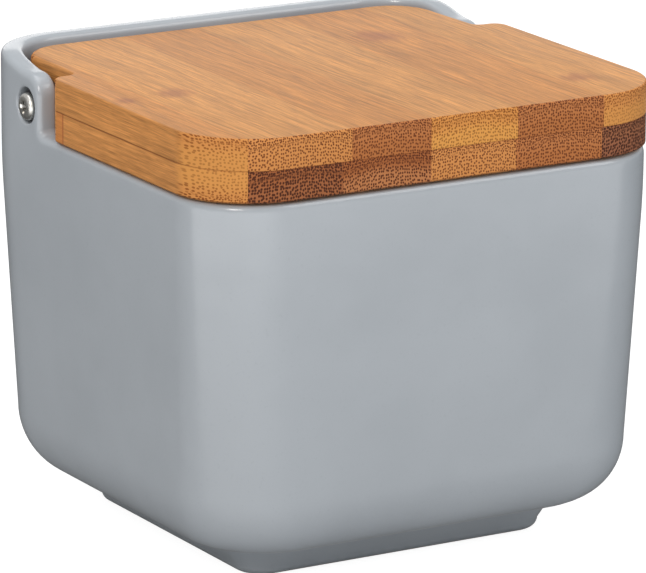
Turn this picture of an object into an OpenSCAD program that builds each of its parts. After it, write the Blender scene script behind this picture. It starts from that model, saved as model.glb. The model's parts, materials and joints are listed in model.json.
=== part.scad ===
// Salt box: a glazed stoneware box with a bamboo lid that tips up on two screws.
// Millimetres, +Z up, front at -Y, origin under the middle of the box.

/* [Body] */
// Width of the box across its rim
body_w = 105; // [96:1:120]
// Depth of the box from front to back
body_d = 101; // [98:1:112]
// Height of the rim that the lid rests on
rim_z = 80.7; // [70:0.1:100]
// Thickness of the fired wall, and so of the rounded rim
wall_t = 4.6; // [4.4:0.1:4.8]
// Radius of the upright corners at the rim
corner_r = 16.5; // [15:0.5:17.5]
// How far a wall leans in for each millimetre further down
taper = 0.038; // [0:0.002:0.05]
// How far the walls turn in under the box
base_in = 8.7; // [7.5:0.1:9]
// Height over which they turn in
base_rise = 13.2; // [11:0.2:14]
// Height of the floor inside the box
floor_z = 12; // [11:0.5:14]
// Radius where the inside walls meet the floor
floor_r = 8; // [6:0.5:10]

/* [Foot] */
// Height of the foot under the box
foot_h = 7.2; // [6.6:0.2:8]
// How far the top of the foot is set in from the wall
foot_inset = 12.4; // [12.3:0.1:14]
// How much further in the bottom of the foot is
foot_lean = 2.3; // [1:0.1:3]
// Radius of the foot's corners
foot_corner_r = 8.8; // [8:0.2:10]
// Width of the flat ring that the box stands on
foot_ring_w = 4; // [3:0.5:5]
// Height of the hollow inside the foot ring
foot_hollow = 6.4; // [5:0.2:7]

/* [Ears and back wall] */
// How far the front edge of each ear is ahead of the lid's pivot
ear_ahead = 5.5; // [5.2:0.1:6.4]
// Height of the ears above the rim
ear_rise = 12.1; // [11:0.1:13]
// Height of the back wall above the rim
back_rise = 14.3; // [13:0.1:15]
// Length of the slope that leads from each ear up to the back wall
ramp_len = 14; // [12:0.5:14]
// Radius of each ear's upper front corner
ear_r = 4.6; // [4:0.1:5.5]
// Radius where each ear runs down into the rim
ear_root_r = 1.5; // [1:0.5:5]

/* [Lid] */
// Thickness of each of the lid's two plies
ply_t = 6.4; // [6:0.2:7]
// How far the lid reaches past the rim at the front and sides
lid_over = 0.3; // [0:0.1:0.8]
// Gap between the closed lid and the rim
lid_gap = 0.4; // [0.1:0.1:0.6]
// Where the lid narrows, measured behind the middle of the box
notch_y = 16.3; // [12:0.1:16.3]
// Radius of the lid's outer corners at that notch
notch_r = 3; // [2:0.5:4]
// Radius inside the notch
notch_in_r = 2; // [1:0.5:3]
// Gap between each side of the lid's tongue and its ear
ear_gap = 1.1; // [1.1:0.1:2]
// Where the tongue ends, measured behind the middle of the box
tongue_y = 43; // [40:0.5:43]
// Radius of the tongue's corners
tongue_r = 9.5; // [9.5:0.5:12]
// Rounding of the tongue's upper rear edge, which passes the back wall
tongue_edge_r = 1.2; // [1.2:0.1:2.5]
// Where the glue joints between the upper strips are
top_joints = [-44.4, -22.6, -4.8, 15, 35];
// Where the glue joints between the lower strips are
bottom_joints = [-44.4, -24.6, -4.8, 14.6, 34.6];

/* [Hinge] */
// Where the lid pivots, measured behind the middle of the box
pivot_y = 27.4; // [27:0.1:28]
// Height of the pivot above the rim
pivot_rise = 4.9; // [4.7:0.1:5.1]
// Diameter of the hole through each ear
hole_d = 7.4; // [7:0.1:8]
// How far the screw hangs below the middle of its hole
screw_drop = 0.3; // [0.2:0.1:0.5]
// Clearance between the sleeve and the hole where it bears
bearing_gap = 0.05; // [0.03:0.01:0.1]
// Diameter of the sleeve's flange between the lid and the ear
flange_d = 10; // [9:0.5:11]
// Thickness of that flange, which leaves the lid some side play
flange_t = 0.8; // [0.5:0.1:0.9]
// Diameter of the screw's thread
screw_d = 3; // [2.5:0.1:3.2]
// Length of the screw under its head
screw_len = 16; // [12:1:16]
// Diameter of the screw's pan head
head_d = 5.6; // [5:0.1:6]
// Height of the pan head
head_h = 1.4; // [1.3:0.1:1.8]
// How far the head stands out of the ear
head_proud = 0.5; // [0.3:0.1:0.8]

/* [Hidden] */

$fn = 64;
glaze_color = [0.63, 0.65, 0.69];
dark_bamboo = [0.72, 0.50, 0.31];
light_bamboo = [0.84, 0.62, 0.40];
sleeve_color = [0.20, 0.20, 0.22];
steel_color = [0.78, 0.78, 0.76];

// Body values that follow from the sizes above
half_w = body_w / 2;
half_d = body_d / 2;
crown_r = wall_t / 2;
shoulder_drop = 1;
shoulder_z = rim_z - crown_r - shoulder_drop;
wall_foot_inset = taper * (shoulder_z - foot_h);
inner_inset = wall_t + taper * (shoulder_z - floor_z);
inner_corner_r = 2;
// How much each corner's radius shrinks for each millimetre that the base turns in
corner_tuck = 0.2;
foot_round = 1.4;
root_fillet = 1.5;
hollow_r = 3;
hollow_bevel = 1.5;
pad_h = 0.6;
pad_step = 0.3;
overlap = 0.1;
cut = 1;
// How far a rounding has come in at its 45 degree point, as a share of its radius
round_mid = 0.3;
corner_steps = 8;
arc_steps = 5;
base_steps = 8;
crown_steps = 8;
// A power under 1 makes the rim's top flatter and its two edges tighter than a half circle
crown_power = 0.6;

// Ear values: the middle of the rounded edge runs crown_r inside the outline
pivot_z = rim_z + pivot_rise;
ear_y = pivot_y - ear_ahead;
root_y = ear_y - ear_root_r;
root_z = rim_z + ear_root_r;
ear_top = rim_z + ear_rise - crown_r;
back_top = rim_z + back_rise - crown_r;
ramp_y = ear_y + ear_r;
ramp_end_y = ramp_y + ramp_len;
ear_bend_z = rim_z + ear_rise - ear_r;

// Lid values
lid_z = rim_z + lid_gap;
lid_half_w = half_w + lid_over;
lid_front = -half_d - lid_over;
lid_corner_r = corner_r + lid_over;
tongue_half = half_w - wall_t - ear_gap;

// Hinge values
sleeve_r = hole_d / 2 - screw_drop - bearing_gap;
head_seat = half_w + head_proud - head_h;
bore_gap = 0.1;
nose_r = 2.3;
nose_len = 0.5;
thread_r = screw_d / 2;
core_r = 1.05;
thread_pitch = 1.2;
thread_crest = 0.12;
thread_start = 0.5;
point_len = 2.2;
shank_len = head_seat - tongue_half;
thread_turns = floor((screw_len - shank_len - thread_start - point_len) / thread_pitch);

// Stations: places round the wall, anticlockwise from the front right corner.
// Each is [corner number or -1, corner angle, side number, share of that side,
// crown y, crown z, crown lean], where the lean is 0 for straight up and 90
// for straight forward. A crown y of undef takes the wall's own place.
function ease(t) = let (c = min(1, max(0, t))) c * c * (3 - 2 * c);
function crown_z_at(y) =
    y < ramp_y ? rim_z - crown_r
               : ear_top + (back_top - ear_top) * ease((y - ramp_y) / (ramp_end_y - ramp_y));

function corner_stations(number, start) =
    [for (i = [0:corner_steps]) [number, start + i * 90 / corner_steps, -1, 0, undef, undef, 0]];

// The edge of an ear from the rim up its front and over its upper corner
root_edge_r = ear_root_r + crown_r;
bend_edge_r = ear_r - crown_r;
function ear_edge() = concat(
    [[0, rim_z - crown_r, 0]],
    [for (i = [0:arc_steps])
        let (a = i * 90 / arc_steps)
        [root_y + root_edge_r * sin(a), root_z - root_edge_r * cos(a), a]],
    [for (i = [0:arc_steps])
        let (a = 90 - i * 90 / arc_steps)
        [ramp_y - bend_edge_r * sin(a), ear_bend_z + bend_edge_r * cos(a), a]],
    [[(ramp_y + half_d - corner_r) / 2, undef, 0]]);

// Lower down, each of these stations stands under its place on the crown, with
// those past the upright front edge moved back a little so that none coincide
edge_points = ear_edge();
edge_last = len(edge_points) - 1;
spread = 0.3;
side_run = half_d - corner_r;
function side_share(i) =
    (edge_points[i][0] + spread * max(0, i - arc_steps) + side_run) / (2 * side_run);
function side_stations(number, forward) =
    [for (k = [0:edge_last])
        let (i = forward ? k : edge_last - k, e = edge_points[i], s = side_share(i))
        [-1, 0, number, forward ? s : 1 - s, e[0], e[1], e[2]]];

stations = concat(
    corner_stations(0, -90),
    side_stations(0, true),
    corner_stations(1, 0),
    corner_stations(2, 90),
    side_stations(2, false),
    corner_stations(3, 180));
station_count = len(stations);

// Middle of a corner arc, for a rounded rectangle of half sizes w and d
corner_x = [1, 1, -1, -1];
corner_y = [-1, 1, 1, -1];
function corner_mid(n, w, d, r) = [corner_x[n] * (w - r), corner_y[n] * (d - r)];

// Place of a station on a rounded rectangle that is set in by inset
function ring_xy(s, inset, r) =
    let (w = half_w - inset, d = half_d - inset)
    s[0] >= 0
        ? corner_mid(s[0], w, d, r) + r * [cos(s[1]), sin(s[1])]
        : let (x = s[2] == 0 ? w : -w, run = d - r, y = -run + 2 * run * s[3])
          [x, s[2] == 0 ? y : -y];

function ring(inset, r, z) =
    [for (s = stations) let (p = ring_xy(s, inset, r)) [p[0], p[1], z]];

// One ring of the rounded crown: turn is -90 outside, 0 on top and 90 inside
function crown_point(s, turn) =
    let (m = ring_xy(s, crown_r, corner_r - crown_r),
         out = s[0] >= 0 ? [cos(s[1]), sin(s[1])] : [s[2] == 0 ? 1 : -1, 0],
         y = s[4] == undef ? m[1] : s[4],
         z = s[5] == undef ? crown_z_at(y) : s[5],
         up = crown_r * pow(max(0, cos(turn)), crown_power),
         side = -crown_r * sign(turn) * pow(abs(sin(turn)), crown_power))
    [m[0] + out[0] * side,
     y + out[1] * side - up * sin(s[6]),
     z + up * cos(s[6])];
function crown(turn) = [for (s = stations) crown_point(s, turn)];

// Rings from the hollow under the foot, out, up, over the crown and down inside
foot_top_inset = wall_foot_inset + foot_inset;
foot_low_inset = foot_top_inset + foot_lean;
hollow_inset = foot_low_inset + foot_ring_w + foot_round;
foot_low_r = foot_corner_r - foot_lean;
foot_mid = foot_round * round_mid;
root_mid = root_fillet * round_mid;
body_rings = concat(
    [ring(hollow_inset + hollow_bevel, hollow_r, foot_hollow)],
    [ring(hollow_inset, hollow_r, foot_hollow - hollow_bevel)],
    [ring(hollow_inset - foot_round, hollow_r, pad_h)],
    [ring(foot_low_inset + foot_round, foot_low_r - foot_round, pad_h)],
    [ring(foot_low_inset + foot_mid, foot_low_r - foot_mid, pad_h + foot_mid)],
    [ring(foot_low_inset, foot_low_r, pad_h + foot_round)],
    [ring(foot_top_inset, foot_corner_r, foot_h - root_fillet)],
    [ring(foot_top_inset - root_mid, foot_corner_r, foot_h - root_mid)],
    [ring(foot_top_inset - root_fillet, foot_corner_r, foot_h)],
    [for (i = [base_steps:-1:0])
        let (a = i * 90 / base_steps, turned = base_in * (1 - cos(a)))
        ring(wall_foot_inset + turned, corner_r - corner_tuck * turned,
             foot_h + base_rise * (1 - sin(a)))],
    [ring(0, corner_r, shoulder_z)],
    [for (i = [0:crown_steps]) crown(i * 180 / crown_steps - 90)],
    [ring(wall_t, corner_r - wall_t, shoulder_z)],
    [for (i = [0:arc_steps])
        let (a = i * 90 / arc_steps, turned = floor_r * (1 - cos(a)))
        ring(inner_inset + turned, max(corner_r - wall_t - turned, inner_corner_r),
             floor_z + floor_r * (1 - sin(a)))]);

ring_count = len(body_rings);
body_points = [for (r = body_rings) each r];
function pt(r, s) = r * station_count + s % station_count;
side_faces = [for (r = [0:ring_count - 2], s = [0:station_count - 1])
    each [[pt(r, s), pt(r + 1, s), pt(r + 1, s + 1)], [pt(r, s), pt(r + 1, s + 1), pt(r, s + 1)]]];
low_cap = [for (s = [0:station_count - 1]) pt(0, s)];
high_cap = [for (s = [station_count - 1:-1:0]) pt(ring_count - 1, s)];

// A rounded rectangle made of circles and squares, so that its arcs stay true
module rounded_plan(w, d, r) {
    square([2 * w, 2 * (d - r)], center = true);
    square([2 * (w - r), 2 * d], center = true);
    for (sx = [-1, 1], sy = [-1, 1]) {
        translate([sx * (w - r), sy * (d - r)]) circle(r = r);
    }
}

// The dry ring that touches the table
module foot_pad() {
    outer = foot_low_inset + foot_round + pad_step;
    inner = foot_low_inset + foot_ring_w - pad_step;
    linear_extrude(height = pad_h + overlap) {
        difference() {
            rounded_plan(half_w - outer, half_d - outer, foot_low_r - foot_round - pad_step);
            rounded_plan(half_w - inner, half_d - inner, hollow_r + pad_step);
        }
    }
}

module ceramic_box() {
    color(glaze_color) {
        difference() {
            union() {
                polyhedron(points = body_points, faces = concat(side_faces, [low_cap], [high_cap]));
                foot_pad();
            }
            translate([0, pivot_y, pivot_z + screw_drop]) {
                rotate([0, 90, 0]) cylinder(d = hole_d, h = body_w + 2 * cut, center = true);
            }
        }
    }
}

// Plan of the lid: a full-width front part and a tongue that fits between the ears
module lid_plan() {
    front_y = lid_front + lid_corner_r;
    for (side = [-1, 1]) {
        translate([side * (lid_half_w - lid_corner_r), front_y]) circle(r = lid_corner_r);
        translate([side * (lid_half_w - notch_r), notch_y - notch_r]) circle(r = notch_r);
        translate([side * (tongue_half - tongue_r), tongue_y - tongue_r]) circle(r = tongue_r);
        notch_fillet(side);
    }
    translate([-lid_half_w + lid_corner_r, lid_front]) {
        square([2 * (lid_half_w - lid_corner_r), lid_corner_r + cut]);
    }
    translate([-lid_half_w, front_y]) square([2 * lid_half_w, notch_y - notch_r - front_y]);
    translate([-lid_half_w + notch_r, front_y]) {
        square([2 * (lid_half_w - notch_r), notch_y - front_y]);
    }
    translate([-tongue_half, 0]) square([2 * tongue_half, tongue_y - tongue_r]);
    translate([-tongue_half + tongue_r, 0]) square([2 * (tongue_half - tongue_r), tongue_y]);
}

// The rounded inner corner where the tongue leaves the front part
module notch_fillet(side) {
    difference() {
        translate([side * (tongue_half + notch_in_r / 2), notch_y + notch_in_r / 2]) {
            square(notch_in_r, center = true);
        }
        translate([side * (tongue_half + notch_in_r), notch_y + notch_in_r]) circle(r = notch_in_r);
    }
}

// What is cut away to round the tongue's upper rear edge, in section
module edge_section() {
    difference() {
        translate([-tongue_edge_r, -tongue_edge_r]) square(tongue_edge_r + cut);
        translate([-tongue_edge_r, -tongue_edge_r]) circle(r = tongue_edge_r);
    }
}

module tongue_edge_cut() {
    straight = 2 * (tongue_half - tongue_r);
    top = lid_z + 2 * ply_t;
    translate([-straight / 2, tongue_y, top]) {
        rotate([90, 0, 90]) linear_extrude(height = straight) edge_section();
    }
    for (side = [-1, 1]) {
        translate([side * straight / 2, tongue_y - tongue_r, top]) {
            rotate([0, 0, side > 0 ? 0 : 90]) {
                rotate_extrude(angle = 90) translate([tongue_r, 0]) edge_section();
            }
        }
    }
}

// One strip of a ply: the lid's plan between two glue joints
module strip(joints, i, z) {
    x0 = i == 0 ? -lid_half_w - cut : joints[i - 1];
    x1 = i == len(joints) ? lid_half_w + cut : joints[i];
    difference() {
        intersection() {
            translate([0, 0, z]) linear_extrude(height = ply_t) lid_plan();
            translate([x0, lid_front - cut, z - cut]) {
                cube([x1 - x0, tongue_y - lid_front + 2 * cut, ply_t + 2 * cut]);
            }
        }
        children();
    }
}

module bottom_strip(i) {
    color(i % 2 == 0 ? dark_bamboo : light_bamboo) {
        strip(bottom_joints, i, lid_z) {
            for (side = [-1, 1]) {
                screw_place(side) cylinder(r = thread_r, h = screw_len + cut);
            }
        }
    }
}

module top_strip(i) {
    color(i % 2 == 0 ? light_bamboo : dark_bamboo) {
        strip(top_joints, i, lid_z + ply_t) tongue_edge_cut();
    }
}

// Puts children on the pivot under the screw's head, with +Z towards its tip
module screw_place(side) {
    translate([side * head_seat, pivot_y, pivot_z]) rotate([0, -side * 90, 0]) children();
}

// Shouldered sleeve: it turns in the ear's hole, its nose carries the screw's head and its
// flange spaces the lid
module hinge_sleeve(side) {
    color(sleeve_color) {
        screw_place(side) {
            difference() {
                union() {
                    cylinder(r = nose_r, h = shank_len);
                    translate([0, 0, nose_len]) cylinder(r = sleeve_r, h = shank_len - nose_len);
                    translate([0, 0, shank_len - flange_t]) cylinder(d = flange_d, h = flange_t);
                }
                translate([0, 0, -cut]) cylinder(r = thread_r + bore_gap, h = shank_len + 2 * cut);
            }
        }
    }
}

// Half section of the screw: point, thread, smooth shank and domed pan head
flank = (thread_pitch - thread_crest) / 2;
thread_profile = [for (i = [0:thread_turns - 1])
    let (z = shank_len + thread_start + i * thread_pitch)
    each [[core_r, z], [thread_r, z + flank],
          [thread_r, z + flank + thread_crest], [core_r, z + thread_pitch]]];
// The head's side is upright at first, then rounds over; a power under 1 keeps it full
head_side_h = 0.35;
dome_power = 0.3;
dome_steps = 8;
dome_profile = [for (i = [0:dome_steps - 1])
    let (a = i * 90 / dome_steps)
    [head_d / 2 * pow(cos(a), dome_power), -head_side_h - (head_h - head_side_h) * sin(a)]];
screw_profile = concat(
    [[0, screw_len], [core_r, screw_len - point_len]],
    [for (i = [len(thread_profile) - 1:-1:0]) thread_profile[i]],
    [[thread_r, shank_len], [thread_r, 0], [head_d / 2, 0]],
    dome_profile,
    [[0, -head_h]]);

// Cross recess: two crossed slots that narrow towards the bottom
recess_len = 3.3;
recess_w = 0.8;
recess_depth = 1;
recess_flare = 0.9;
recess_floor_r = 0.4;
module cross_recess() {
    translate([0, 0, -head_h - cut]) {
        intersection() {
            union() {
                for (turn = [0, 90]) {
                    rotate([0, 0, turn]) {
                        translate([-recess_len / 2, -recess_w / 2, 0]) {
                            cube([recess_len, recess_w, recess_depth + cut]);
                        }
                    }
                }
            }
            cylinder(r1 = recess_len / 2 + recess_flare, r2 = recess_floor_r, h = recess_depth + cut);
        }
    }
}

module hinge_screw(side) {
    color(steel_color) {
        screw_place(side) {
            difference() {
                rotate_extrude() polygon(screw_profile);
                cross_recess();
            }
        }
    }
}

ceramic_box();
bottom_strip(0);  // bottom_strip_1
bottom_strip(1);  // bottom_strip_2
bottom_strip(2);  // bottom_strip_3
bottom_strip(3);  // bottom_strip_4
bottom_strip(4);  // bottom_strip_5
bottom_strip(5);  // bottom_strip_6
top_strip(0);  // top_strip_1
top_strip(1);  // top_strip_2
top_strip(2);  // top_strip_3
top_strip(3);  // top_strip_4
top_strip(4);  // top_strip_5
top_strip(5);  // top_strip_6
hinge_sleeve(-1);  // hinge_sleeve_left
hinge_sleeve(1);  // hinge_sleeve_right
hinge_screw(-1);  // hinge_screw_left
hinge_screw(1);  // hinge_screw_right
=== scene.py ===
"""Looks of a salt box: a glazed stoneware box and a bamboo lid that tips up on two screws."""

import json
import math

import bmesh
import bpy
from mathutils import Matrix, Vector


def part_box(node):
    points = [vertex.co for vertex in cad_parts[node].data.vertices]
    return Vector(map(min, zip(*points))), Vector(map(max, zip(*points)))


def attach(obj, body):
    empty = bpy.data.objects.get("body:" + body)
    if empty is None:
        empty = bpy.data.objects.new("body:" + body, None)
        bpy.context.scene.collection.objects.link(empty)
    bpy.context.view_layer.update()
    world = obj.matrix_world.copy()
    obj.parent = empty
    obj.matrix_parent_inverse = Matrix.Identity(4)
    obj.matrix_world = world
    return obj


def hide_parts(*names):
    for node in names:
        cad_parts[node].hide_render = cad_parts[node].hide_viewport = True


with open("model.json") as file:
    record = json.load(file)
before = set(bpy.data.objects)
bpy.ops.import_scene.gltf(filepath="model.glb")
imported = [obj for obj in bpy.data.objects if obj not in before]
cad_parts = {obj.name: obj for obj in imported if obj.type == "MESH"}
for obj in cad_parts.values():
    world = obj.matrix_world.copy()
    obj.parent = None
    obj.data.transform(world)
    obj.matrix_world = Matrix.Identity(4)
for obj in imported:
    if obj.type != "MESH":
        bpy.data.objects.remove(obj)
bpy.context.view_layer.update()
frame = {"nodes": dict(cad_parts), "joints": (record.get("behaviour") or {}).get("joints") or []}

MM = 0.001

# Every size is in millimetres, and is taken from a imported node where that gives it
LID_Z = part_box("bottom_strip_3")[0].z / MM
LID_GAP = 0.4

# The stoneware: a power under 1 makes its rounded edge flatter on top than a half circle
_, box_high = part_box("ceramic_box")
HALF_W = box_high.x / MM
HALF_D = box_high.y / MM
BACK_TOP = box_high.z / MM
RIM_Z = LID_Z - LID_GAP
WALL = 4.6
CROWN_R = WALL / 2
CROWN_POWER = 0.6
CORNER_R = 16.5

# The walls lean in below a height, and the change is spread over BLEND_Z either way of it
TAPER = 0.0415
STRAIGHT_Z = RIM_Z - 9.3
BLEND_Z = 6.0
INNER_LEAN = 2.6

# Where the walls turn in, the floor and the foot
FOOT_H = 7.2
BASE_IN = 8.7
BASE_RISE = 13.2
CORNER_TUCK = 0.2
FLOOR_Z = 12.0
FLOOR_R = 8.0
FOOT_TOP_INSET = 15.07
FOOT_LOW_INSET = 17.37
FOOT_CORNER_R = 8.8
FOOT_ROUND = 2.0
ROOT_FILLET = 1.5
RING_W = 4.0
HOLLOW_Z = 6.4
HOLLOW_R = 3.0
HOLLOW_ROUND = 1.5
RING_EDGES = ((0.0, 0.0, 1.0), (0.3, 0.3, 0.3), (1.0, 1.0, 0.0))

# The ears and the back wall
PIVOT = Vector(frame["joints"][0]["pos_m"]) / MM
EAR_AHEAD = 5.5
EAR_RISE = 12.1
EAR_FRONT = PIVOT.y - EAR_AHEAD
EAR_TOP = RIM_Z + EAR_RISE
EAR_R = 4.6
EAR_ROOT_R = 1.5
RAMP_LEN = 14.0
SCREW_DROP = 0.3
HOLE_R = 3.7
HOLE_Z = PIVOT.z + SCREW_DROP
HOLE_ROUND = 0.55
HEAD_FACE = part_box("hinge_screw_right")[1].x / MM

# The lid
PLY = 6.4
GLUE_Z = LID_Z + PLY
LID_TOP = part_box("top_strip_3")[1].z / MM
LID_HALF_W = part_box("top_strip_6")[1].x / MM
LID_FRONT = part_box("top_strip_3")[0].y / MM
TONGUE_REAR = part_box("top_strip_3")[1].y / MM
LID_OVER = 0.3
LID_CORNER_R = CORNER_R + LID_OVER
NOTCH_Y = 16.3
NOTCH_R = 3.0
NOTCH_IN_R = 2.0
EAR_GAP = 1.1
TONGUE_HALF = HALF_W - WALL - EAR_GAP
TONGUE_R = 9.5
EDGE_EASE = 0.4
TONGUE_EASE = 1.2
TONGUE_EASE_FROM_Y = 30.0
TONGUE_EASE_RUN = 4.0
GLUE_EASE = 0.12

# Steps round each curve of the stoneware and the lid
CORNER_STEPS = 22
FLAT_STEPS = 12
SIDE_STEPS = 14
ROOT_STEPS = 14
BEND_STEPS = 10
UPRIGHT_STEPS = 3
RAMP_STEPS = 6
CROWN_STEPS = 24
BASE_STEPS = 16
FOOT_STEPS = 8
HOLLOW_STEPS = 6
WALL_STEPS = 8
FLOOR_STEPS = 10
HOLE_STEPS = 64
MOUTH_STEPS = 6
LID_CORNER_STEPS = 28
NOTCH_STEPS = 10
NOTCH_IN_STEPS = 8
TONGUE_STEPS = 20
LOW_EASE_STEPS = 5
TOP_EASE_STEPS = 7
CRISP_ANGLE = 35


# Small helpers

SAME_POINT = 1e-7


def new_object(name, points, faces):
    """A mesh object from points in millimetres, with its normals facing outwards."""
    mesh = bpy.data.meshes.new(name)
    mesh.from_pydata([tuple(c * MM for c in p) for p in points], [], faces)
    obj = bpy.data.objects.new(name, mesh)
    bpy.context.scene.collection.objects.link(obj)
    bm = bmesh.new()
    bm.from_mesh(mesh)
    bmesh.ops.remove_doubles(bm, verts=bm.verts, dist=SAME_POINT)
    bmesh.ops.recalc_face_normals(bm, faces=bm.faces)
    bm.to_mesh(mesh)
    bm.free()
    return obj


def shade(obj):
    """Smooth shading, with edges sharper than CRISP_ANGLE kept crisp."""
    bm = bmesh.new()
    bm.from_mesh(obj.data)
    for face in bm.faces:
        face.smooth = True
    for edge in bm.edges:
        turn = edge.calc_face_angle(0.0)
        edge.smooth = turn < math.radians(CRISP_ANGLE)
    bm.to_mesh(obj.data)
    bm.free()


def loft(rings):
    """Points and faces of a closed skin over rings that all have the same number of points."""
    count = len(rings[0])
    points = [p for ring in rings for p in ring]
    faces = []
    for r in range(len(rings) - 1):
        for i in range(count):
            j = (i + 1) % count
            low = r * count
            high = low + count
            faces.append((low + i, low + j, high + j, high + i))
    last = (len(rings) - 1) * count
    faces.append(tuple(reversed(range(count))))
    faces.append(tuple(range(last, last + count)))
    return points, faces


def cut(obj, tool):
    """Takes the tool's volume out of the object and removes the tool."""
    modifier = obj.modifiers.new("cut", "BOOLEAN")
    modifier.operation = "DIFFERENCE"
    modifier.solver = "EXACT"
    modifier.object = tool
    graph = bpy.context.evaluated_depsgraph_get()
    mesh = bpy.data.meshes.new_from_object(obj.evaluated_get(graph))
    obj.modifiers.clear()
    obj.data = mesh
    bpy.data.objects.remove(tool)


def arc(steps, start=0.0, end=90.0):
    """Angles in radians from start to end, both included."""
    return [math.radians(start + (end - start) * i / steps) for i in range(steps + 1)]


def between(steps):
    """The shares that lie strictly between 0 and 1 when a length is cut into equal steps."""
    return [i / steps for i in range(1, steps)]


def ease(t):
    """A smooth rise from 0 to 1 as t does."""
    t = min(1.0, max(0.0, t))
    return t * t * (3 - 2 * t)


# The stoneware box

def crown_height(y):
    """Height of the middle line of the rounded top edge, also up the slope behind each ear."""
    ear = EAR_TOP - CROWN_R
    back = BACK_TOP - CROWN_R
    start = EAR_FRONT + EAR_R
    if y < start:
        return RIM_Z - CROWN_R
    return ear + (back - ear) * ease((y - start) / RAMP_LEN)


def ear_line():
    """Middle line of a side wall's top edge, front to rear, as (y, z, lean) in one plane."""
    run = HALF_D - CORNER_R
    root_y = EAR_FRONT - EAR_ROOT_R
    root_z = RIM_Z + EAR_ROOT_R
    root = EAR_ROOT_R + CROWN_R
    bend_y = EAR_FRONT + EAR_R
    bend_z = EAR_TOP - EAR_R
    bend = EAR_R - CROWN_R
    line = [(-run + (root_y + run) * t, RIM_Z - CROWN_R, 0.0) for t in between(SIDE_STEPS)]
    line += [(root_y + root * math.sin(a), root_z - root * math.cos(a), a) for a in arc(ROOT_STEPS)]
    line += [(EAR_FRONT + CROWN_R, root_z + (bend_z - root_z) * t, math.pi / 2)
             for t in between(UPRIGHT_STEPS)]
    line += [(bend_y - bend * math.sin(a), bend_z + bend * math.cos(a), a)
             for a in arc(BEND_STEPS, 90, 0)]
    tail = [bend_y + (run - bend_y) * t for t in between(RAMP_STEPS)]
    line += [(y, crown_height(y), 0.0) for y in tail]
    return line


# Lower down, the places past an ear's upright front are moved back so that none coincide
LOW_SHIFT = 0.35
LOW_SHIFT_FROM = 24
LOW_SHIFT_STEPS = 14
LOW_SHIFT_END = 4.0


def low_places(line):
    """How far back each place of a side wall lies below its crown."""
    run = HALF_D - CORNER_R
    lows = []
    for i, (y, _, _) in enumerate(line):
        shift = LOW_SHIFT * min(1.0, max(0.0, (i - LOW_SHIFT_FROM) / LOW_SHIFT_STEPS))
        lows.append(y + shift * min(1.0, (run - y) / LOW_SHIFT_END))
    return lows


def wall_stations():
    """Places round the wall. Each gives its corner or side, and its point on the crown."""
    line = ear_line()
    side = list(zip(low_places(line), line))
    right_side = [{"side": 1, "low": low, "crown": crown} for low, crown in side]
    left_side = [{"side": -1, "low": low, "crown": crown} for low, crown in reversed(side)]
    shares = [2 * t - 1 for t in between(FLAT_STEPS)]
    rear = [{"flat": 1, "share": -share} for share in shares]
    front = [{"flat": -1, "share": share} for share in shares]
    # Anticlockwise from the front right corner, each corner with the wall that follows it
    runs = [(1, -1, -90, right_side), (1, 1, 0, rear), (-1, 1, 90, left_side), (-1, -1, 180, front)]
    stations = []
    for sx, sy, start, wall in runs:
        for angle in arc(CORNER_STEPS, start, start + 90):
            stations.append({"corner": (sx, sy), "angle": angle})
        stations += wall
    return stations


def place(station, inset, r):
    """Where a station lies on a rounded rectangle that is set in by inset."""
    w = HALF_W - inset
    d = HALF_D - inset
    if "corner" in station:
        sx, sy = station["corner"]
        a = station["angle"]
        return sx * (w - r) + r * math.cos(a), sy * (d - r) + r * math.sin(a)
    if "flat" in station:
        return station["share"] * (w - r), station["flat"] * d
    run = HALF_D - CORNER_R
    return station["side"] * w, station["low"] * (d - r) / run


def outward(station):
    """Which way is out at a station, in plan."""
    if "corner" in station:
        return math.cos(station["angle"]), math.sin(station["angle"])
    if "flat" in station:
        return 0.0, station["flat"]
    return station["side"], 0.0


def crown_ring(stations, turn):
    """One ring of the rounded edge: turn is -90 outside, 0 on top and 90 inside."""
    ring = []
    up = CROWN_R * max(0.0, math.cos(turn)) ** CROWN_POWER
    side = -math.copysign(CROWN_R * abs(math.sin(turn)) ** CROWN_POWER, turn)
    for station in stations:
        x, y = place(station, CROWN_R, CORNER_R - CROWN_R)
        nx, ny = outward(station)
        lean = 0.0
        z = crown_height(y)
        if "crown" in station:
            y, z, lean = station["crown"]
        ring.append((x + nx * side, y + ny * side - up * math.sin(lean), z + up * math.cos(lean)))
    return ring


def wall_inset(z):
    """How far the outside wall leans in at a height: straight lower down, upright at the rim."""
    below = STRAIGHT_Z - z
    if below < -BLEND_Z:
        return 0.0
    if below > BLEND_Z:
        return TAPER * below
    return TAPER * (below + BLEND_Z) ** 2 / (4 * BLEND_Z)


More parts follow.
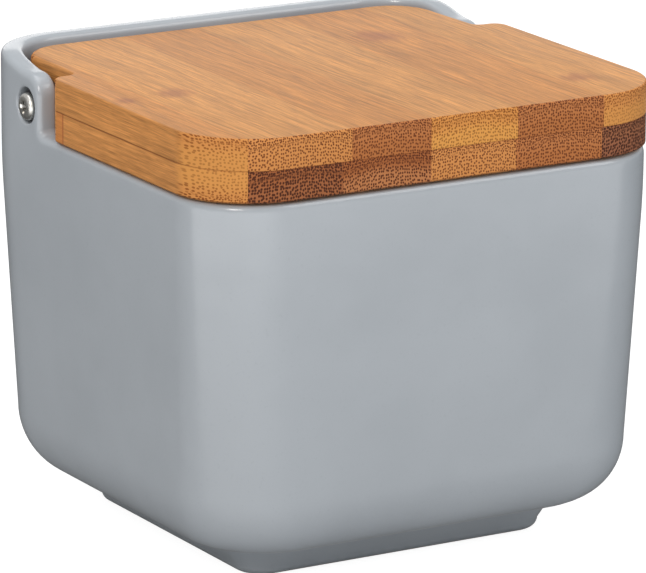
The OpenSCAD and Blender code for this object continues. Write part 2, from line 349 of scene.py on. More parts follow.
def body_rings(stations):
    """Rings from the hollow under the foot, out, up, over the rim and down inside."""
    def ring(inset, r, z):
        return [(*place(s, inset, r), z) for s in stations]

    rings = []
    hollow = FOOT_LOW_INSET + FOOT_ROUND + RING_W
    for a in arc(HOLLOW_STEPS, 90, 0):
        rings.append(ring(hollow + HOLLOW_ROUND * (1 - math.cos(a)), HOLLOW_R,
                          HOLLOW_Z - HOLLOW_ROUND * (1 - math.sin(a))))
    for out, wider, z in RING_EDGES:
        rings.append(ring(hollow - out, HOLLOW_R + wider, z))
    low_r = FOOT_CORNER_R - (FOOT_LOW_INSET - FOOT_TOP_INSET)
    for a in arc(FOOT_STEPS, 90, 0):
        inward = FOOT_ROUND * (1 - math.cos(a))
        rings.append(ring(FOOT_LOW_INSET + inward, low_r - inward, FOOT_ROUND * (1 - math.sin(a))))
    for a in arc(FOOT_STEPS):
        out = ROOT_FILLET * (1 - math.cos(a))
        rings.append(ring(FOOT_TOP_INSET - out, FOOT_CORNER_R,
                          FOOT_H - ROOT_FILLET * (1 - math.sin(a))))
    base_top = FOOT_H + BASE_RISE
    for a in arc(BASE_STEPS, 90, 0):
        turned = BASE_IN * (1 - math.cos(a))
        rings.append(ring(wall_inset(base_top) + turned, CORNER_R - CORNER_TUCK * turned,
                          FOOT_H + BASE_RISE * (1 - math.sin(a))))
    straight = STRAIGHT_Z - BLEND_Z
    upward = [(i + 1) / WALL_STEPS for i in range(WALL_STEPS)]
    heights = [base_top + (straight - base_top) * t for t in upward]
    heights += [straight + 2 * BLEND_Z * t for t in upward]
    for z in heights:
        rings.append(ring(wall_inset(z), CORNER_R, z))
    for turn in arc(CROWN_STEPS, -90, 90):
        rings.append(crown_ring(stations, turn))
    floor_top = FLOOR_Z + FLOOR_R
    for i in range(WALL_STEPS):
        down = i / WALL_STEPS
        z = heights[-1] + (floor_top - heights[-1]) * down
        rings.append(ring(WALL + INNER_LEAN * down, CORNER_R - WALL, z))
    for a in arc(FLOOR_STEPS):
        turned = FLOOR_R * (1 - math.cos(a))
        rings.append(ring(WALL + INNER_LEAN + turned, CORNER_R - WALL - turned,
                          floor_top - FLOOR_R * math.sin(a)))
    return rings


def hole_tool(side):
    """A turned cutter along X whose ends flare, so that each mouth of the hole is rounded."""
    outer = HALF_W
    inner = HALF_W - WALL
    past = 1.0
    profile = [(inner - past, HOLE_R + HOLE_ROUND)]
    profile += [(inner + HOLE_ROUND * (1 - math.cos(a)), HOLE_R + HOLE_ROUND * (1 - math.sin(a)))
                for a in arc(MOUTH_STEPS)]
    profile += [(outer - HOLE_ROUND * (1 - math.cos(a)), HOLE_R + HOLE_ROUND * (1 - math.sin(a)))
                for a in arc(MOUTH_STEPS, 90, 0)]
    profile += [(outer + past, HOLE_R + HOLE_ROUND)]
    turns = [2 * math.pi * i / HOLE_STEPS for i in range(HOLE_STEPS)]
    rings = []
    for x, r in profile:
        rings.append([(side * x, PIVOT.y + r * math.cos(t), HOLE_Z + r * math.sin(t)) for t in turns])
    return new_object("hole_tool", *loft(rings))


def make_stoneware():
    """The whole fired box as one solid, with a hole through each ear."""
    obj = new_object("stoneware_box", *loft(body_rings(wall_stations())))
    for side in (-1, 1):
        cut(obj, hole_tool(side))
    shade(obj)
    return obj


# The bamboo lid

def lid_outline():
    """The lid's plan, anticlockwise, as (x, y, outward x, outward y)."""
    def bend(cx, cy, r, start, end, steps, inward=False):
        sign = -1 if inward else 1
        return [(cx + r * math.cos(a), cy + r * math.sin(a), sign * math.cos(a), sign * math.sin(a))
                for a in arc(steps, start, end)]

    front_x = LID_HALF_W - LID_CORNER_R
    front_y = LID_FRONT + LID_CORNER_R
    notch_x = LID_HALF_W - NOTCH_R
    in_x = TONGUE_HALF + NOTCH_IN_R
    tongue_x = TONGUE_HALF - TONGUE_R
    half = bend(front_x, front_y, LID_CORNER_R, -90, 0, LID_CORNER_STEPS)
    half += bend(notch_x, NOTCH_Y - NOTCH_R, NOTCH_R, 0, 90, NOTCH_STEPS)
    half += bend(in_x, NOTCH_Y + NOTCH_IN_R, NOTCH_IN_R, 270, 180, NOTCH_IN_STEPS, True)
    half += bend(tongue_x, TONGUE_REAR - TONGUE_R, TONGUE_R, 0, 90, TONGUE_STEPS)
    other = [(-x, y, -nx, ny) for x, y, nx, ny in reversed(half)]
    return half + other


def edge_round(y):
    """Radius of the lid's upper edge: larger round the rear of the tongue, which has to turn."""
    return EDGE_EASE + (TONGUE_EASE - EDGE_EASE) * ease((y - TONGUE_EASE_FROM_Y) / TONGUE_EASE_RUN)


def ply(name, low, high, top_round, low_round):
    """One ply of the lid as a closed solid with its outer edges eased."""
    outline = lid_outline()
    rings = []

    def ring(inset_of, z_of):
        rings.append([(x - nx * inset_of(y), y - ny * inset_of(y), z_of(y))
                      for x, y, nx, ny in outline])

    for a in arc(LOW_EASE_STEPS, 90, 0):
        ring(lambda y: low_round * (1 - math.cos(a)), lambda y: low + low_round * (1 - math.sin(a)))
    for a in arc(TOP_EASE_STEPS):
        ring(lambda y: top_round(y) * (1 - math.cos(a)),
             lambda y: high - top_round(y) * (1 - math.sin(a)))
    return new_object(name, *loft(rings))


# Two places closer than this are one place
SAME_PLACE = 0.01


def slice_strip(source, name, x0, x1):
    """The part of a ply between two glue joints, as a solid of its own."""
    obj = source.copy()
    obj.data = source.data.copy()
    obj.name = name
    bpy.context.scene.collection.objects.link(obj)
    bm = bmesh.new()
    bm.from_mesh(obj.data)
    for x, side in ((x0, -1), (x1, 1)):
        is_outer_edge = abs(x) > LID_HALF_W - SAME_PLACE
        if is_outer_edge:
            continue
        geometry = list(bm.verts) + list(bm.edges) + list(bm.faces)
        result = bmesh.ops.bisect_plane(bm, geom=geometry, plane_co=(x * MM, 0, 0),
                                        plane_no=(side, 0, 0), clear_outer=True)
        rim = [e for e in result["geom_cut"] if isinstance(e, bmesh.types.BMEdge)]
        bmesh.ops.holes_fill(bm, edges=rim, sides=0)
    bmesh.ops.recalc_face_normals(bm, faces=bm.faces)
    bm.to_mesh(obj.data)
    bm.free()
    shade(obj)
    return obj


STRIPS_IN_PLY = 6


def make_strips():
    """All strips of both plies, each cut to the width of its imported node."""
    strips = []
    layers = (
        ("bottom", ply("ply", LID_Z, GLUE_Z, lambda y: GLUE_EASE, EDGE_EASE)),
        ("top", ply("ply", GLUE_Z, LID_TOP, edge_round, GLUE_EASE)),
    )
    for layer, source in layers:
        for i in range(1, STRIPS_IN_PLY + 1):
            node = f"{layer}_strip_{i}"
            low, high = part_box(node)
            strips.append((node, slice_strip(source, f"{layer}_bamboo_{i}", low.x / MM, high.x / MM)))
        bpy.data.objects.remove(source)
    return strips


# Nodes for the materials

class Wiring:
    """Adds nodes to one tree, so that a material reads as a list of steps."""

    def __init__(self, tree):
        self.tree = tree

    def plug(self, socket, value):
        if isinstance(value, bpy.types.NodeSocket):
            self.tree.links.new(value, socket)
        elif value is not None:
            socket.default_value = value

    def add(self, kind, inputs=None, **settings):
        node = self.tree.nodes.new(kind)
        for key, value in settings.items():
            setattr(node, key, value)
        for key, value in (inputs or {}).items():
            self.plug(node.inputs[key], value)
        return node

    def math(self, operation, a, b=None, c=None):
        node = self.add("ShaderNodeMath", operation=operation)
        for i, value in enumerate((a, b, c)):
            self.plug(node.inputs[i], value)
        return node.outputs[0]

    def millimetres(self, place_in_metres):
        """A place in millimetres, so that the sizes in a material read as on the object."""
        scaled = self.add("ShaderNodeVectorMath", operation="SCALE")
        self.plug(scaled.inputs[0], place_in_metres)
        scaled.inputs[3].default_value = 1 / MM
        return scaled.outputs[0]

    def bump(self, height, strength, distance):
        """A normal raised by a height that is given as 0 to 1."""
        settings = {"Strength": strength, "Distance": distance, "Height": height}
        return self.add("ShaderNodeBump", settings).outputs[0]

    def split(self, vector):
        return self.add("ShaderNodeSeparateXYZ", {0: vector}).outputs

    def join(self, x, y, z):
        return self.add("ShaderNodeCombineXYZ", {0: x, 1: y, 2: z}).outputs[0]

    def step(self, value, low, high):
        """0 below low and 1 above high, with a smooth rise between."""
        node = self.add("ShaderNodeMapRange", {0: value, 1: low, 2: high, 3: 0.0, 4: 1.0},
                        interpolation_type="SMOOTHSTEP")
        return node.outputs[0]

    def mix(self, factor, a, b, blend="MIX"):
        node = self.add("ShaderNodeMix", data_type="RGBA", blend_type=blend)
        self.plug(node.inputs[0], factor)
        self.plug(node.inputs[6], a)
        self.plug(node.inputs[7], b)
        return node.outputs[2]

    def noise(self, vector, scale, detail=2.0, roughness=0.5):
        node = self.add("ShaderNodeTexNoise",
                        {"Vector": vector, "Scale": scale, "Detail": detail, "Roughness": roughness})
        return node.outputs[0]


def group(name, inputs, outputs):
    """An empty shader node group with named sockets; returns its wiring, inputs and outputs."""
    tree = bpy.data.node_groups.new(name, "ShaderNodeTree")
    for label, kind, value in inputs:
        socket = tree.interface.new_socket(label, in_out="INPUT", socket_type=kind)
        if value is not None:
            socket.default_value = value
    for label, kind in outputs:
        tree.interface.new_socket(label, in_out="OUTPUT", socket_type=kind)
    wiring = Wiring(tree)
    source = wiring.add("NodeGroupInput").outputs
    target = wiring.add("NodeGroupOutput").inputs
    return wiring, source, target


def material(name):
    """A new node material with its wiring and its Principled shader."""
    made = bpy.data.materials.new(name)
    made.use_nodes = True
    wiring = Wiring(made.node_tree)
    return made, wiring, made.node_tree.nodes["Principled BSDF"]


def tone(red, green, blue):
    """A colour given as it is seen, 0 to 255, in the linear values that a shader takes."""
    def linear(c):
        c = c / 255
        return c / 12.92 if c <= 0.04045 else ((c + 0.055) / 1.055) ** 2.4
    return (linear(red), linear(green), linear(blue), 1.0)


COLOR = "NodeSocketColor"
FLOAT = "NodeSocketFloat"
VECTOR = "NodeSocketVector"

# Bamboo seen across the fibres, as (ground near the skin, ground near the core, bundles,
# size of the bundles, how far they fade towards the core)
END_TONES = {
    "straw": (tone(212, 143, 76), tone(216, 150, 78), tone(132, 68, 20), 0.95, 0.5),
    "gold": (tone(216, 146, 74), tone(226, 160, 80), tone(122, 62, 14), 1.0, 0.3),
    "honey": (tone(214, 144, 80), tone(212, 142, 78), tone(96, 38, 8), 1.0, 0.1),
    "amber": (tone(192, 122, 70), tone(184, 114, 62), tone(88, 32, 6), 1.05, 0.1),
    "rust": (tone(166, 98, 52), tone(190, 124, 76), tone(76, 26, 6), 1.1, 0.0),
    "umber": (tone(162, 96, 54), tone(164, 100, 60), tone(64, 24, 8), 1.3, 0.0),
    "dusk": (tone(160, 102, 68), tone(152, 96, 66), tone(58, 22, 10), 1.3, 0.0),
}
STRIP_TONES = {
    "top": ("straw", "honey", "amber", "gold", "amber", "straw"),
    "bottom": ("straw", "umber", "rust", "honey", "amber", "dusk"),
}
# Bamboo seen along the fibres, which differs a little from strip to strip
LONG_TONES = (tone(200, 141, 80), tone(194, 133, 73))
SEED_PER_STRIP = 3.7
SEED_OF_TOP = 40.0
# Where a stem's joint leaves a smudge on an upper strip, as (x, y, size) in millimetres
SMUDGES = {1: (-49.0, -9.0, 2.6), 2: (-38.0, -7.8, 4.2), 5: (23.6, 17.0, 6.0), 6: (39.2, -35.0, 4.4)}
# Where a thin reddish line crosses the side of the lower left strip, with deeper orange wood behind
# it
SIDE_LINE_Y = 10.8
FAR_AWAY = 500.0


# How the bundles lie: they wander along the stem, bow with its wall and thin out to the core
WANDER = 2.4
BOW = 0.011
CORE_DEPTHS = (0.6, 4.6)
SKIN_DEPTHS = (1.9, 0.5)
DEPTH_SQUEEZE = 0.8
# Bundles as (how close together, how uneven, inner and outer edge of each dot)
LARGE_DOTS = (1.85, 0.6, 0.21, 0.40)
SMALL_DOTS = (2.4, 0.65, 0.25, 0.46)
DOT_DEPTH = 0.94
# Grain along the strip as (scale across, scale along, detail)
STREAKS = (5.0, 0.13, 2.0)
BROAD_STREAKS = (1.5, 0.05, 2.0)
BANDS = (0.16, 0.012, 1.0)
PORES = (5.5, 0.30, 1.0)
RAGGED = (0.9, 0.25, 3.0)
PORE_TONE = tone(140, 78, 40)
SMUDGE_TONE = tone(146, 84, 60)
SIDE_LINE_TONE = tone(150, 66, 36)
BEHIND_LINE_TONE = tone(196, 114, 54)
GLUE_TONE = tone(112, 60, 26)
# Painted shadow of the gap between the lid and the rim
GAP_SHADOW_TONE = tone(52, 28, 16)


def spread(w, value, amount, offset=0.0):
    """A noise value of about 0 to 1 as a change of up to half the amount either way."""
    return w.math("MULTIPLY_ADD", value, amount, offset - amount / 2)


def grain(w, across, y, z, seed, kind):
    """Noise that is fine across the strip and drawn out along it."""
    over, along, detail = kind
    place_at = w.join(w.math("MULTIPLY", across, over), w.math("MULTIPLY_ADD", y, along, seed),
                      w.math("MULTIPLY", z, over))
    return w.noise(place_at, 1.0, detail, 0.6)


def dots(w, cell, size, kind):
    """Round spots of one size, 1 inside and 0 between."""
    scale, randomness, inner, outer = kind
    away = w.add("ShaderNodeTexVoronoi", {"Vector": cell, "Scale": scale, "Randomness": randomness},
                 voronoi_dimensions="2D").outputs["Distance"]
    return w.step(w.math("DIVIDE", away, size), outer, inner)


def end_grain(w, given, across, x, z):
    """Colour of a cut end, and how much of it is bundle: small and crowded near the skin."""
    seed = given["Seed"]
    off = w.math("SUBTRACT", x, given["Middle"])
    bow = w.math("MULTIPLY", w.math("MULTIPLY", off, off), BOW)
    under = w.math("ABSOLUTE", w.math("SUBTRACT", given["Skin height"], z))
    depth = w.math("SUBTRACT", under, bow)
    core = w.step(depth, *CORE_DEPTHS)

    cell_x = w.math("MULTIPLY_ADD", seed, 7.3, across)
    cell = w.join(cell_x, w.math("MULTIPLY", depth, DEPTH_SQUEEZE), 0.0)
    large = dots(w, cell, given["Bundle size"], LARGE_DOTS)
    small = dots(w, cell, given["Bundle size"], SMALL_DOTS)
    near_skin = w.step(depth, *SKIN_DEPTHS)
    bundle = w.math("ADD", large, w.math("MULTIPLY", near_skin, w.math("SUBTRACT", small, large)))
    fade = w.math("MULTIPLY", core, given["Core fade"])
    bundle = w.math("MULTIPLY", bundle, w.math("SUBTRACT", 1.0, fade))

    patch = w.noise(w.join(w.math("MULTIPLY", x, 0.16), seed, w.math("MULTIPLY", z, 0.3)), 1.0)
    ground_mix = w.math("ADD", core, spread(w, patch, 0.6))
    ground = w.mix(w.step(ground_mix, 0.0, 1.0), given["Skin tone"], given["Core tone"])
    return w.mix(w.math("MULTIPLY", bundle, DOT_DEPTH), ground, given["Bundle tone"]), bundle


def smudges_and_side_line(w, given, color, x, y, ragged):
    """Marks on the strips: a stem joint's smudge on top, and a thin reddish line across a side with
    deeper orange wood behind it.
    """
    from_x = w.math("DIVIDE", w.math("SUBTRACT", x, given["Smudge x"]), given["Smudge size"])
    from_y = w.math("DIVIDE", w.math("SUBTRACT", y, given["Smudge y"]), given["Smudge size"])
    away = w.math("SQRT", w.math("MULTIPLY_ADD", from_x, from_x, w.math("MULTIPLY", from_y, from_y)))
    smudge = w.step(w.math("ADD", away, spread(w, ragged, 1.6)), 1.25, 0.2)
    color = w.mix(w.math("MULTIPLY", smudge, 0.55), color, SMUDGE_TONE)

    behind = w.math("SUBTRACT", y, given["Side line"])
    color = w.mix(w.math("MULTIPLY", w.step(behind, -0.1, 0.1), 0.4), color, BEHIND_LINE_TONE)
    line = w.step(w.math("ABSOLUTE", behind), 0.34, 0.12)
    return w.mix(w.math("MULTIPLY", line, 0.6), color, SIDE_LINE_TONE)


def bamboo_group():
    """Bamboo whose bundles run along Y: dots on the ends, lines on every other face."""
    w, given, result = group(
        "bamboo",
        [("Position", VECTOR, None), ("Facing", VECTOR, None), ("Seed", FLOAT, 0.0),
         ("Middle", FLOAT, 0.0), ("Skin height", FLOAT, 0.0),
         ("Smudge x", FLOAT, FAR_AWAY), ("Smudge y", FLOAT, FAR_AWAY), ("Smudge size", FLOAT, 1.0),
         ("Side line", FLOAT, FAR_AWAY), ("Bundle size", FLOAT, 1.0), ("Core fade", FLOAT, 0.0),
         ("Skin tone", COLOR, None), ("Core tone", COLOR, None), ("Bundle tone", COLOR, None),
         ("Long tone", COLOR, None)],
        [("Color", COLOR), ("Roughness", FLOAT), ("Height", FLOAT)])
    x, y, z = w.split(w.millimetres(given["Position"]))
    seed = given["Seed"]

    # The bundles wander a little along their length
    slow = w.join(w.math("MULTIPLY", x, 0.05), w.math("MULTIPLY", y, 0.025),
                  w.math("MULTIPLY_ADD", z, 0.05, seed))
    across = w.math("ADD", x, spread(w, w.noise(slow, 1.0), WANDER))
    end_color, bundle = end_grain(w, given, across, x, z)

    # Long grain: fine streaks, broader streaks, slow bands and short dark pores
    streaks, broad, bands, pore_noise, ragged = (
        grain(w, across, y, z, seed, kind) for kind in (STREAKS, BROAD_STREAKS, BANDS, PORES, RAGGED))
    pores = w.step(pore_noise, 0.58, 0.74)
    tint = spread(w, streaks, 1.3, 1.0)
    tint = w.math("ADD", tint, spread(w, broad, 0.9))
    tint = w.math("ADD", tint, spread(w, bands, 0.5))
    tinted = w.mix(1.0, given["Long tone"], w.join(tint, tint, tint), "MULTIPLY")
    long_color = w.mix(w.math("MULTIPLY", pores, 0.30), tinted, PORE_TONE)
    long_color = smudges_and_side_line(w, given, long_color, x, y, ragged)

    # The cut ends show wherever a face turns towards the fibres
    facing = w.split(given["Facing"])
    end = w.step(w.math("ABSOLUTE", facing[1]), 0.03, 0.24)
    color = w.mix(end, long_color, end_color)

    # The glue line between the two plies is a thin brown line, fainter on the ends
    glue = w.step(w.math("ABSOLUTE", w.math("SUBTRACT", z, GLUE_Z)), 0.26, 0.08)
    glue = w.math("MULTIPLY", glue, w.math("MULTIPLY_ADD", end, -0.40, 0.62))
    color = w.mix(glue, color, GLUE_TONE)

    # Painted shadow along the lowest edge of the lid's sides, over the gap to the rim: the dark gap
    # under the lid
    gap_shadow_band = w.step(z, LID_Z + 0.45, LID_Z + 0.15)
    shade_share = w.math("MULTIPLY", gap_shadow_band, w.step(facing[2], -0.85, -0.5))
    color = w.mix(w.math("MULTIPLY", shade_share, 0.7), color, GAP_SHADOW_TONE)
    w.plug(result["Color"], color)

    rough = w.math("MULTIPLY_ADD", end, 0.10, 0.42)
    w.plug(result["Roughness"], w.math("MULTIPLY_ADD", streaks, 0.16, rough))
    pits = w.math("MULTIPLY", bundle, w.math("MULTIPLY", end, 0.8))
    sunk = w.math("ADD", pits, w.math("MULTIPLY", pores, 0.4))
    w.plug(result["Height"], w.math("SUBTRACT", streaks, sunk))
    return w.tree


def bamboo(tree, layer, index):
    """The material of one strip."""
    made, w, shader = material(f"{layer}_bamboo_{index}")
    skin, core, bundle, size, fade = END_TONES[STRIP_TONES[layer][index - 1]]
    low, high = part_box(f"{layer}_strip_{index}")
    place_on = w.add("ShaderNodeTexCoord").outputs
    node = w.add("ShaderNodeGroup", node_tree=tree)
    w.plug(node.inputs["Position"], place_on["Object"])
    w.plug(node.inputs["Facing"], place_on["Normal"])
    # The lower left strip lies with its skin downwards
    lower_left = layer == "bottom" and index == 1
    values = {
        "Seed": SEED_PER_STRIP * index + (SEED_OF_TOP if layer == "top" else 0.0),
        "Middle": (low.x + high.x) / 2 / MM,
        "Skin height": (low.z if lower_left else high.z) / MM,
        "Side line": SIDE_LINE_Y if lower_left else FAR_AWAY,
        "Bundle size": size,
        "Core fade": fade,
        "Skin tone": skin,
        "Core tone": core,
        "Bundle tone": bundle,
        "Long tone": LONG_TONES[index % 2],
    }
    if layer == "top" and index in SMUDGES:
        values["Smudge x"], values["Smudge y"], values["Smudge size"] = SMUDGES[index]
    for label, value in values.items():
        node.inputs[label].default_value = value
    w.plug(shader.inputs["Base Color"], node.outputs["Color"])
    w.plug(shader.inputs["Roughness"], node.outputs["Roughness"])
    w.plug(shader.inputs["Normal"], w.bump(node.outputs["Height"], 0.12, 0.0002))
    shader.inputs["Specular IOR Level"].default_value = 0.22
    return made


def glaze():
    """Satin grey glaze, a little uneven, with a dry unglazed ring where the foot stands."""
    made, w, shader = material("satin_grey_glaze")
    place_on = w.add("ShaderNodeTexCoord").outputs
    position = w.millimetres(place_on["Object"])
    z = w.split(position)[2]
    cloud = w.noise(position, 0.035, 3.0)
    speck = w.noise(position, 1.6, 2.0, 0.6)
    color = w.mix(w.step(cloud, 0.3, 0.7), tone(169, 176, 183), tone(174, 181, 188))
    color = w.mix(w.math("MULTIPLY", w.step(speck, 0.60, 0.72), 0.25), color, tone(160, 166, 174))
    # A painted highlight along the arris under the base, just above the foot, where the glaze also
    # breaks a little paler
    arris_highlight = w.math("MULTIPLY", w.step(z, FOOT_H + 0.05, FOOT_H + 0.3),
                   w.step(z, FOOT_H + 0.9, FOOT_H + 0.65))
    color = w.mix(w.math("MULTIPLY", arris_highlight, 0.8), color, tone(236, 237, 238))
    dry = w.step(z, 0.5, 0.25)
    color = w.mix(dry, color, tone(206, 198, 184))
    w.plug(shader.inputs["Base Color"], color)
    rough = w.math("MULTIPLY_ADD", speck, 0.10, 0.36)
    w.plug(shader.inputs["Roughness"], w.math("MULTIPLY_ADD", dry, 0.45, rough))
    uneven = w.math("ADD", w.math("MULTIPLY", w.noise(position, 0.09, 1.0), 4.0),
                    w.math("MULTIPLY", w.noise(position, 0.9, 2.0), 0.25))
    bump = w.bump(uneven, 0.15, 0.0003)
    w.plug(shader.inputs["Normal"], bump)
    w.plug(shader.inputs["Coat Normal"], bump)
    shader.inputs["Specular IOR Level"].default_value = 0.4
    w.plug(shader.inputs["Coat Weight"], w.math("MULTIPLY_ADD", dry, -0.8, 0.8))
    shader.inputs["Coat Roughness"].default_value = 0.16
    return made


def steel():
    """Stainless screw steel, a little dull, with painted shade inside the cross recess."""
    made, w, shader = material("screw_steel")
    place_on = w.add("ShaderNodeTexCoord").outputs
    position = w.millimetres(place_on["Object"])
    grime = w.noise(position, 1.8, 3.0)
    color = w.mix(w.step(grime, 0.35, 0.7), tone(240, 238, 232), tone(216, 213, 206))
    x, y, z = w.split(position)
    off_y = w.math("SUBTRACT", y, PIVOT.y)
    off_z = w.math("SUBTRACT", z, PIVOT.z)
    off = w.math("SQRT", w.math("MULTIPLY_ADD", off_y, off_y, w.math("MULTIPLY", off_z, off_z)))
    # Painted shade inside the cross recess, below the head's face
    sunk = w.step(w.math("ABSOLUTE", x), HEAD_FACE - 0.15, HEAD_FACE - 0.5)
    sunk = w.math("MULTIPLY", sunk, w.step(off, 1.9, 1.6))
    color = w.mix(w.math("MULTIPLY", sunk, 0.8), color, tone(58, 54, 50))
    w.plug(shader.inputs["Base Color"], color)
    w.plug(shader.inputs["Roughness"], w.math("MULTIPLY_ADD", grime, 0.16, 0.28))
    shader.inputs["Metallic"].default_value = 1.0
    w.plug(shader.inputs["Normal"], w.bump(w.noise(position, 9.0, 2.0), 0.08, 0.0001))
    return made


def dark_plastic():
    """Dark grey moulded plastic."""
    made, w, shader = material("sleeve_plastic")
    place_on = w.add("ShaderNodeTexCoord").outputs
    position = w.millimetres(place_on["Object"])
    texture = w.noise(position, 6.0, 3.0)
    w.plug(shader.inputs["Base Color"], w.mix(texture, tone(38, 37, 42), tone(62, 60, 66)))
    w.plug(shader.inputs["Roughness"], w.math("MULTIPLY_ADD", texture, 0.2, 0.42))
    w.plug(shader.inputs["Normal"], w.bump(texture, 0.15, 0.0001))
    return made


def dress(obj, made):
    """Gives an object one material."""
    obj.data.materials.clear()
    obj.data.materials.append(made)


# The object's pieces

def build_pieces():
    stoneware = make_stoneware()
    dress(stoneware, glaze())
    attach(stoneware, "box")
    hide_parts("ceramic_box")

    tree = bamboo_group()
    for node, strip in make_strips():
        layer, _, index = node.split("_")
        dress(strip, bamboo(tree, layer, int(index)))
        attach(strip, "lid")
        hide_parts(node)

    metal = steel()
    plastic = dark_plastic()
    for side in ("left", "right"):
        dress(frame["nodes"][f"hinge_screw_{side}"], metal)
        dress(frame["nodes"][f"hinge_sleeve_{side}"], plastic)


# The camera of the photograph, fitted to the object's edges

PHOTO_W = 646
PHOTO_H = 573
CAMERA_AZ = math.radians(-30.508)
CAMERA_EL = math.radians(15.016)
CAMERA_ROLL = math.radians(0.288)
CAMERA_DISTANCE = 1.16944
CAMERA_TARGET = Vector((0.0, -0.001025, 0.047866))
FOCAL_PX = 5763.484
CENTRE_X = 321.548
CENTRE_Y = 286.893


def make_camera():
    """Places the camera and shifts its lens as the photograph's centre asks."""
    data = bpy.data.cameras.new("camera")
    data.sensor_fit = "HORIZONTAL"
    data.sensor_width = 36.0
    data.lens = FOCAL_PX * data.sensor_width / PHOTO_W
    data.shift_x = (PHOTO_W / 2 - CENTRE_X) / PHOTO_W
    data.shift_y = (CENTRE_Y - PHOTO_H / 2) / PHOTO_W
    data.clip_start = 0.05
    data.clip_end = 20.0
    camera = bpy.data.objects.new("camera", data)
    bpy.context.scene.collection.objects.link(camera)
    back = Vector((math.sin(CAMERA_AZ) * math.cos(CAMERA_EL),
                   -math.cos(CAMERA_AZ) * math.cos(CAMERA_EL),
                   math.sin(CAMERA_EL)))
    right = (-back).cross(Vector((0, 0, 1))).normalized()
    up = right.cross(-back)
    turned_right = right * math.cos(CAMERA_ROLL) + up * math.sin(CAMERA_ROLL)
    turned_up = up * math.cos(CAMERA_ROLL) - right * math.sin(CAMERA_ROLL)
    turn = Matrix((turned_right, turned_up, back)).transposed().to_4x4()
    camera.matrix_world = Matrix.Translation(CAMERA_TARGET + back * CAMERA_DISTANCE) @ turn
    bpy.context.scene.camera = camera


# The studio

def area_light(name, place_at, aim, size, power, color=(1, 1, 1)):
    """A rectangular softbox at a place in metres, turned towards what it lights."""
    data = bpy.data.lights.new(name, "AREA")
    data.shape = "RECTANGLE"
    data.size = size[0]
    data.size_y = size[1]
    data.energy = power
    data.color = color
    light = bpy.data.objects.new(name, data)
    bpy.context.scene.collection.objects.link(light)
    turn = (Vector(aim) - Vector(place_at)).to_track_quat("-Z", "Y").to_matrix().to_4x4()
    light.matrix_world = Matrix.Translation(place_at) @ turn
    return light


# The floor's painted glow as the glaze mirrors it: bright ahead of this line, dark behind it
MIRROR_LINE_AT = (-0.050, -0.045)
MIRROR_LINE_NORMAL = (-0.376, -0.927)
DARK_ROOM = 0.10
# Brightness of the floor's own glow, and how much of it the camera sees over its shading
FLOOR_GLOW = 1.5
GLOW_SHARE = 0.62


def floor_mirror(w):
    """Strength of the floor's painted glow in reflections: a painted lit table ahead, a dark room
    behind.
    """
    position = w.add("ShaderNodeTexCoord").outputs["Object"]
    x, y, _ = w.split(position)
    from_x = w.math("SUBTRACT", x, MIRROR_LINE_AT[0])
    from_y = w.math("SUBTRACT", y, MIRROR_LINE_AT[1])
    ahead = w.math("ADD", w.math("MULTIPLY", from_x, MIRROR_LINE_NORMAL[0]),
                   w.math("MULTIPLY", from_y, MIRROR_LINE_NORMAL[1]))
    lit = w.step(ahead, -0.01, 0.02)
    # Painted shadow: the glow is dimmer close to the object
    far = w.math("SQRT", w.math("ADD", w.math("MULTIPLY", x, x), w.math("MULTIPLY", y, y)))
    pool = w.math("MULTIPLY_ADD", w.step(far, 0.10, 0.40), 1.2, 0.35)
    # Painted light: the glow is brighter on the left softbox's side
    to_left = w.math("MULTIPLY_ADD", w.step(x, 0.10, -0.12), 0.7, 0.8)
    return w.math("MULTIPLY_ADD", lit, w.math("MULTIPLY", pool, to_left), DARK_ROOM)


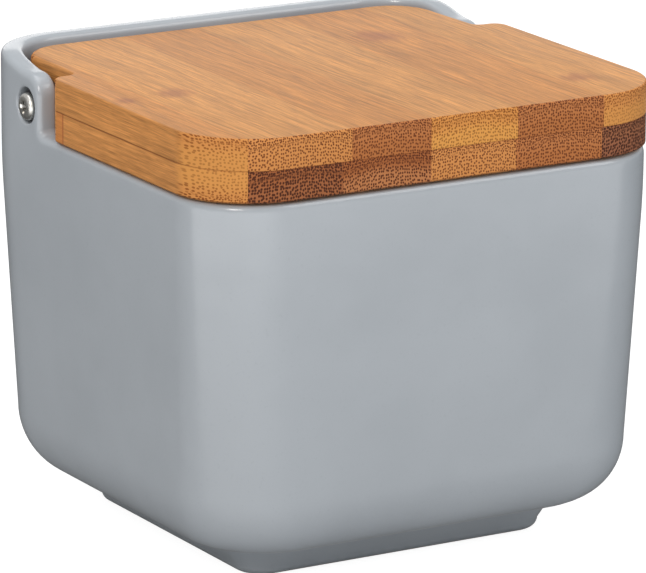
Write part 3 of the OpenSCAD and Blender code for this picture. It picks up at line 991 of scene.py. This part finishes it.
def stage_material():
    """Pale floor: white to the camera, with the object's soft shadow kept; to reflections it glows
    with painted light and shade.
    """
    made, w, shader = material("pale_floor")
    shader.inputs["Base Color"].default_value = (0.68, 0.68, 0.68, 1)
    shader.inputs["Roughness"].default_value = 0.9
    shader.inputs["Specular IOR Level"].default_value = 0.1
    path = w.add("ShaderNodeLightPath").outputs
    seen = w.math("MAXIMUM", path["Is Camera Ray"], path["Is Transmission Ray"])
    mirrored = w.math("MULTIPLY", path["Is Glossy Ray"], w.math("SUBTRACT", 1.0, seen))
    change = w.math("SUBTRACT", floor_mirror(w), FLOOR_GLOW)
    strength = w.math("MULTIPLY_ADD", mirrored, change, FLOOR_GLOW)
    glow = w.add("ShaderNodeEmission", {"Color": (1, 1, 1, 1), "Strength": strength})
    share = w.math("MULTIPLY_ADD", seen, GLOW_SHARE, mirrored)
    blend = w.add("ShaderNodeMixShader", {0: share})
    w.plug(blend.inputs[1], shader.outputs[0])
    w.plug(blend.inputs[2], glow.outputs[0])
    output = made.node_tree.nodes["Material Output"]
    w.plug(output.inputs["Surface"], blend.outputs[0])
    return made


def make_stage():
    """A wide floor, an even white surround and four softboxes."""
    reach = 6000.0
    points = [(-reach, -reach, 0), (reach, -reach, 0), (reach, reach, 0), (-reach, reach, 0)]
    floor = new_object("floor", points, [(0, 1, 2, 3)])
    floor.location.z = -0.0001
    dress(floor, stage_material())

    world = bpy.data.worlds.new("studio")
    bpy.context.scene.world = world
    world.use_nodes = True
    w = Wiring(world.node_tree)
    path = w.add("ShaderNodeLightPath").outputs
    seen = w.math("MAXIMUM", path["Is Camera Ray"], path["Is Transmission Ray"])
    strength = w.math("MULTIPLY_ADD", seen, 0.5, 0.5)
    background = world.node_tree.nodes["Background"]
    background.inputs["Color"].default_value = (1, 1, 1, 1)
    w.plug(background.inputs["Strength"], strength)

    warm = (1.0, 0.95, 0.90)
    middle = (0, 0, 0.05)
    lid_height = (0, 0, 0.08)
    area_light("right_softbox", (0.84, -1.0, 0.92), middle, (0.5, 0.9), 4.6)
    area_light("left_softbox", (-1.0, -0.84, 0.92), middle, (0.4, 0.5), 8.4, warm)
    area_light("overhead", (-0.1, 0.1, 1.7), middle, (1.2, 1.2), 9)
    area_light("back_card", (0.75, 1.3, 0.45), lid_height, (1.2, 0.6), 2.2)


bpy.context.scene.view_settings.view_transform = "Standard"
make_camera()
make_stage()
build_pieces()
